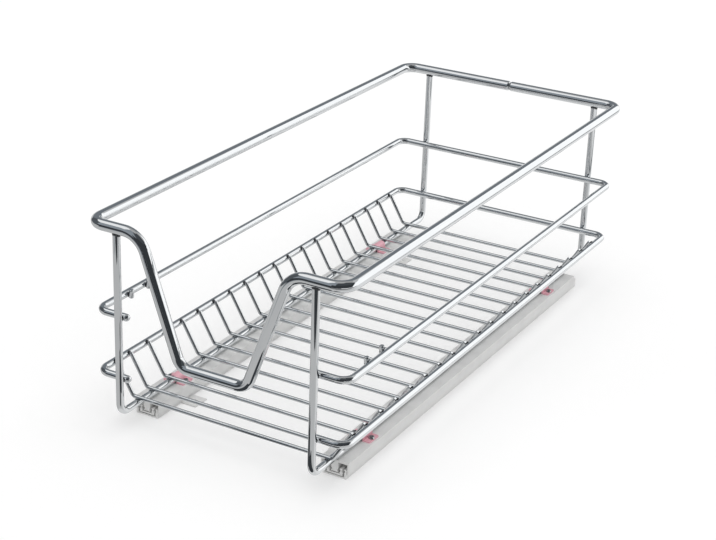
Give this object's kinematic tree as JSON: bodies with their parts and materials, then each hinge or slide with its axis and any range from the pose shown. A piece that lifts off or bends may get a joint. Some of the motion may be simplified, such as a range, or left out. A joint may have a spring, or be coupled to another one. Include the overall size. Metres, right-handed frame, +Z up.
{
  "type": "pull-out wire basket",
  "caption": "Chrome wire pull-out basket with a hand dip in its front rim, on slim full-extension ball-bearing runners that screw to a cabinet floor.",
  "frame": {"origin": "on the cabinet floor, under the middle of the basket's bounding box", "axes": "+X to the right seen from the front, +Y towards the back, +Z up; the drawer opens towards -Y"},
  "size_m": [0.229, 0.507, 0.1755],
  "materials": {
    "chrome": "polished plating",
    "clip_enamel": "pink satin enamel",
    "screw_steel": "bright zinc plating",
    "rail_coat": "white powder coat",
    "cage_steel": "satin",
    "ball_steel": "polished",
    "rubber": "matte"
  },
  "bodies": {
    "cabinet_side": {"cabinet_rail_left": "rail_coat", "rear_stop_left": "rubber", "cabinet_rail_right": "rail_coat", "rear_stop_right": "rubber"},
    "drawer": {"top_rim": "chrome", "middle_ring": "chrome", "lower_ring": "chrome", "side_frame_left": "chrome", "side_frame_right": "chrome", "floor_wire_01": "chrome", "floor_wire_02": "chrome", "floor_wire_03": "chrome", "floor_wire_04": "chrome", "floor_wire_05": "chrome", "floor_wire_06": "chrome", "floor_wire_07": "chrome", "floor_wire_08": "chrome", "floor_wire_09": "chrome", "floor_wire_10": "chrome", "floor_wire_11": "chrome", "floor_wire_12": "chrome", "floor_wire_13": "chrome", "floor_wire_14": "chrome", "floor_wire_15": "chrome", "floor_wire_16": "chrome", "floor_wire_17": "chrome", "floor_wire_18": "chrome", "floor_wire_19": "chrome", "floor_wire_20": "chrome", "peg_left_front": "chrome", "peg_left_rear": "chrome", "peg_right_front": "chrome", "peg_right_rear": "chrome", "saddle_clip_left_front": "clip_enamel", "saddle_clip_left_rear": "clip_enamel", "saddle_clip_right_front": "clip_enamel", "saddle_clip_right_rear": "clip_enamel", "clip_screws": "screw_steel", "drawer_rail_left": "rail_coat", "drawer_rail_right": "rail_coat"},
    "middle_left": {"middle_rail_left": "rail_coat"},
    "outer_cage_set_left": {"outer_cage_left": "cage_steel", "outer_balls_left": "ball_steel"},
    "inner_cage_set_left": {"inner_cage_left": "cage_steel", "inner_balls_left": "ball_steel"},
    "middle_right": {"middle_rail_right": "rail_coat"},
    "outer_cage_set_right": {"outer_cage_right": "cage_steel", "outer_balls_right": "ball_steel"},
    "inner_cage_set_right": {"inner_cage_right": "cage_steel", "inner_balls_right": "ball_steel"}
  },
  "joints": [
    {"name": "drawer_slide", "type": "slide", "parent": "cabinet_side", "child": "drawer", "axis": [0, -1, 0], "range_m": [0, 0.42]},
    {"name": "middle_left_slide", "type": "slide", "parent": "cabinet_side", "child": "middle_left", "axis": [0, -1, 0], "range_m": [0, 0.21]},
    {"name": "outer_cage_set_left_slide", "type": "slide", "parent": "cabinet_side", "child": "outer_cage_set_left", "axis": [0, -1, 0], "range_m": [0, 0.105]},
    {"name": "inner_cage_set_left_slide", "type": "slide", "parent": "cabinet_side", "child": "inner_cage_set_left", "axis": [0, -1, 0], "range_m": [0, 0.315]},
    {"name": "middle_right_slide", "type": "slide", "parent": "cabinet_side", "child": "middle_right", "axis": [0, -1, 0], "range_m": [0, 0.21]},
    {"name": "outer_cage_set_right_slide", "type": "slide", "parent": "cabinet_side", "child": "outer_cage_set_right", "axis": [0, -1, 0], "range_m": [0, 0.105]},
    {"name": "inner_cage_set_right_slide", "type": "slide", "parent": "cabinet_side", "child": "inner_cage_set_right", "axis": [0, -1, 0], "range_m": [0, 0.315]}
  ],
  "couplings": [
    {"joint": "middle_left_slide", "follows": "drawer_slide", "ratio": 0.5},
    {"joint": "outer_cage_set_left_slide", "follows": "drawer_slide", "ratio": 0.25},
    {"joint": "inner_cage_set_left_slide", "follows": "drawer_slide", "ratio": 0.75},
    {"joint": "middle_right_slide", "follows": "drawer_slide", "ratio": 0.5},
    {"joint": "outer_cage_set_right_slide", "follows": "drawer_slide", "ratio": 0.25},
    {"joint": "inner_cage_set_right_slide", "follows": "drawer_slide", "ratio": 0.75}
  ]
}
